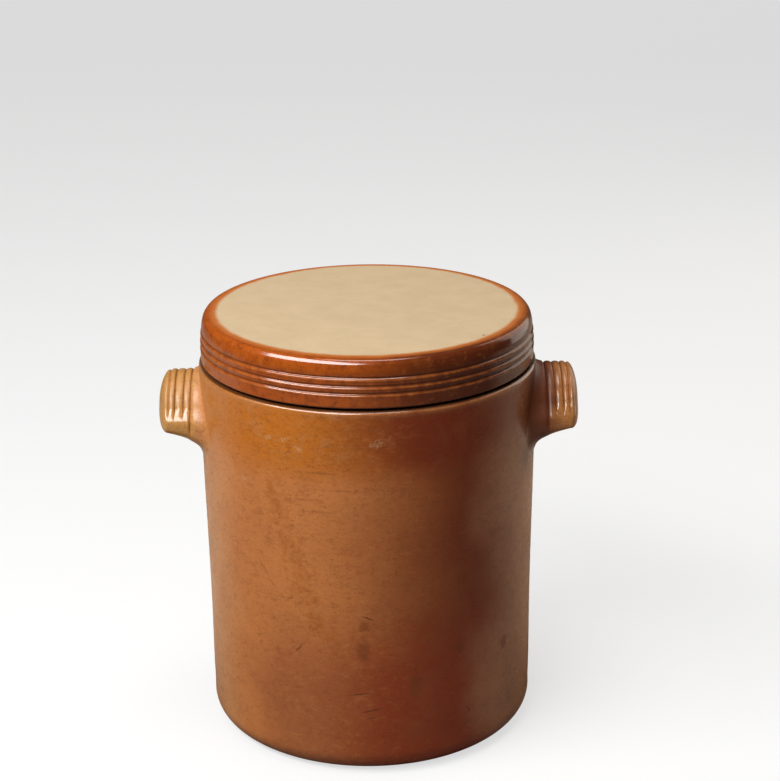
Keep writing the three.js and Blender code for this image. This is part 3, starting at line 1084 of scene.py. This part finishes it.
class ADD_OT_condiment_pot_body(bpy.types.Operator):
    """Turns the pot's body, lutes both ribbed ears to it and glazes it"""

    bl_idname = "mesh.condiment_pot_body"
    bl_label = "Add Pot and Ears"

    def execute(self, context):
        scene = context.scene
        sizes = scene.pot_sizes
        pot = turned_piece("glazed_pot", pot_profile(sizes))
        move_points(pot, lambda point: uneven_wall(sizes, point))
        root = sizes.shoulder_radius
        for name, ear, turned in (("left", scene.left_ear, True), ("right", scene.right_ear, False)):
            join_solid(pot, ear_piece("ear_" + name, ear, root, turned))
        soften_joint(pot, root)
        bpy.ops.object.mode_set(mode="EDIT")
        tidy_mesh()
        shade(pot, 50)
        paint(pot, "glaze_pool", lambda point: pot_pool(scene, point))
        paint(pot, "glaze_thin", lambda point: pot_thin(sizes, point))
        dress(pot, pot_finish(scene.glaze_colours))
        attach(pot, "root")
        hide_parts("pot")
        return {"FINISHED"}


class ADD_OT_condiment_pot_lid(bpy.types.Operator):
    """Turns the lid with its three incised lines and glazes it round a bare clay disc"""

    bl_idname = "mesh.condiment_pot_lid"
    bl_label = "Add Lid"

    def execute(self, context):
        sizes = context.scene.lid_sizes
        lid = turned_piece("glazed_lid", lid_profile(sizes))
        shade(lid, 50)
        paint(lid, "glaze_pool", lambda point: lid_pool(sizes, point))
        paint(lid, "glaze_thin", lid_thin)
        paint(lid, "glaze_crest", lambda point: lid_crest(sizes, point))
        dress(lid, lid_finish(context.scene.glaze_colours, sizes))
        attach(lid, "root")
        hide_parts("lid")
        return {"FINISHED"}


# The studio


# The camera looks down by the pitch at the middle. Metres and radians, and millimetres on the sensor
MIDDLE = (0, 0, 110 * MM)
CAMERA_DISTANCE = 1.050
CAMERA_PITCH = 0.39515
CAMERA_ROLL = 0.01471
SENSOR_WIDTH = 36

# In pixels: the focal length, and how far right of and below the picture's centre the middle lies
FOCAL_PIXELS = 2065.64
SHIFT_RIGHT = -22.2
SHIFT_DOWN = 111.6

# The floor's sizes in metres, and how many faces its sweep has
FLOOR_SIZE = 6
SWEEP_HEIGHT = 3
SWEEP_RADIUS = 1.2
SWEEP_STEPS = 24

WORLD_STRENGTH = 0.04


def floor_piece(studio):
    """A floor that sweeps up behind the pot."""
    pick_none()
    bpy.ops.mesh.primitive_plane_add(size=FLOOR_SIZE, location=(0, 0, 0))
    floor = name_piece("floor")
    bpy.ops.object.mode_set(mode="EDIT")
    bpy.ops.mesh.select_all(action="DESELECT")
    bpy.ops.object.mode_set(mode="OBJECT")
    for edge in floor.data.edges:
        edge.select = all(floor.data.vertices[i].co.y > 0 for i in edge.vertices)
    bpy.ops.object.mode_set(mode="EDIT")
    bpy.ops.mesh.select_mode(type="EDGE")
    bpy.ops.mesh.extrude_region_move(TRANSFORM_OT_translate={"value": (0, 0, SWEEP_HEIGHT)})
    bpy.ops.mesh.select_mode(type="VERT")
    bpy.ops.object.mode_set(mode="OBJECT")
    bevel = floor.modifiers.new("sweep", "BEVEL")
    bevel.width = SWEEP_RADIUS
    bevel.segments = SWEEP_STEPS
    bevel.limit_method = "ANGLE"
    bpy.ops.object.modifier_apply(modifier=bevel.name)
    shade(floor, 40)
    dress(floor, floor_finish(studio))
    return floor


def area_light(name, power, size, azimuth, elevation, distance, colour=(1, 1, 1)):
    """A rectangular soft light that faces the middle. Azimuth 0 is the front, and 90 is the right."""
    turn, rise = math.radians(azimuth), math.radians(elevation)
    away = Vector((math.sin(turn) * math.cos(rise), -math.cos(turn) * math.cos(rise), math.sin(rise)))
    pick_none()
    bpy.ops.object.light_add(type="AREA", location=Vector(MIDDLE) + away * distance)
    light = name_piece(name)
    light.rotation_euler = (-away).to_track_quat("-Z", "Y").to_euler()
    light.data.shape = "RECTANGLE"
    light.data.size, light.data.size_y = size
    light.data.energy = power
    light.data.color = colour


def world_light(scene):
    """A faint even light from all round."""
    world = bpy.data.worlds.new("studio")
    scene.world = world
    world.use_nodes = True
    background = world.node_tree.nodes["Background"]
    background.inputs["Color"].default_value = (1, 1, 1, 1)
    background.inputs["Strength"].default_value = WORLD_STRENGTH


def camera_turn():
    """The camera's turn: down by the pitch from +Y, then a pan, tilt and roll about its own axes."""
    pan, tilt = math.atan2(SHIFT_RIGHT, FOCAL_PIXELS), math.atan2(SHIFT_DOWN, FOCAL_PIXELS)
    return (
        Matrix.Rotation(QUARTER_TURN - CAMERA_PITCH, 3, "X")
        @ Matrix.Rotation(pan, 3, "Y")
        @ Matrix.Rotation(tilt, 3, "X")
        @ Matrix.Rotation(-CAMERA_ROLL, 3, "Z")
    )


def camera_piece(scene, studio):
    pick_none()
    back, up = CAMERA_DISTANCE * math.cos(CAMERA_PITCH), CAMERA_DISTANCE * math.sin(CAMERA_PITCH)
    bpy.ops.object.camera_add(location=(0, -back, MIDDLE[2] + up))
    camera = name_piece("camera")
    camera.data.lens = studio.lens
    camera.data.sensor_width = SENSOR_WIDTH
    camera.data.clip_start = 0.05
    camera.data.clip_end = 50
    camera.rotation_euler = camera_turn().to_euler()
    scene.camera = camera
    scene.view_settings.view_transform = "Standard"


class ADD_OT_condiment_pot_studio(bpy.types.Operator):
    """Sets the pale floor with its sweep, the soft lights and the camera"""

    bl_idname = "scene.condiment_pot_studio"
    bl_label = "Add Studio"

    def execute(self, context):
        studio = context.scene.pot_studio
        floor_piece(studio)
        area_light("key light", studio.key_power, (1.15, 0.36), -44, 48, 1.15)
        area_light("top light", studio.top_power, (0.6, 0.6), 0, 88, 1.2)
        area_light("rim light", studio.rim_power, (0.7, 1.2), 128, 22, 1.1, (1, 0.9, 0.8))
        world_light(context.scene)
        camera_piece(context.scene, studio)
        return {"FINISHED"}


# The panel and the add-on's own list of parts


class VIEW3D_PT_condiment_pot(bpy.types.Panel):
    """Lists the pot's pieces and the studio"""

    bl_idname = "VIEW3D_PT_condiment_pot"
    bl_label = "Condiment Pot"
    bl_space_type = "VIEW_3D"
    bl_region_type = "UI"
    bl_category = "Condiment Pot"

    def draw(self, context):
        scene = context.scene
        for operator, settings in PANEL_ROWS:
            self.layout.operator(operator)
            for name in settings:
                group = getattr(scene, name)
                for prop in group.bl_rna.properties.keys()[2:]:
                    self.layout.prop(group, prop)


PANEL_ROWS = (
    ("mesh.condiment_pot_body", ("pot_sizes", "left_ear", "right_ear")),
    ("mesh.condiment_pot_lid", ("lid_sizes", "glaze_colours")),
    ("scene.condiment_pot_studio", ("pot_studio",)),
)
SETTINGS = {
    "pot_sizes": PotSizes,
    "left_ear": EarSizes,
    "right_ear": EarSizes,
    "lid_sizes": LidSizes,
    "glaze_colours": GlazeColours,
    "pot_studio": StudioSettings,
}
CLASSES = (
    PotSizes,
    EarSizes,
    LidSizes,
    GlazeColours,
    StudioSettings,
    ADD_OT_condiment_pot_body,
    ADD_OT_condiment_pot_lid,
    ADD_OT_condiment_pot_studio,
    VIEW3D_PT_condiment_pot,
)


def register():
    for cls in CLASSES:
        bpy.utils.register_class(cls)
    for name, group in SETTINGS.items():
        setattr(bpy.types.Scene, name, PointerProperty(type=group))


def unregister():
    for name in SETTINGS:
        delattr(bpy.types.Scene, name)
    for cls in reversed(CLASSES):
        bpy.utils.unregister_class(cls)


def set_right_ear(ear):
    """The right ear reaches a little further out and has a wider arch."""
    ear.reach = 104.15 * MM
    ear.grooves = (88.2 * MM, 92.0 * MM, 95.8 * MM, 98.8 * MM)
    ear.arch_radius = 22.9 * MM
    ear.end_power = 2.3


def main():
    register()
    set_right_ear(bpy.context.scene.right_ear)
    bpy.ops.mesh.condiment_pot_body()
    bpy.ops.mesh.condiment_pot_lid()
    bpy.ops.scene.condiment_pot_studio()


if __name__ == "__main__":
    main()
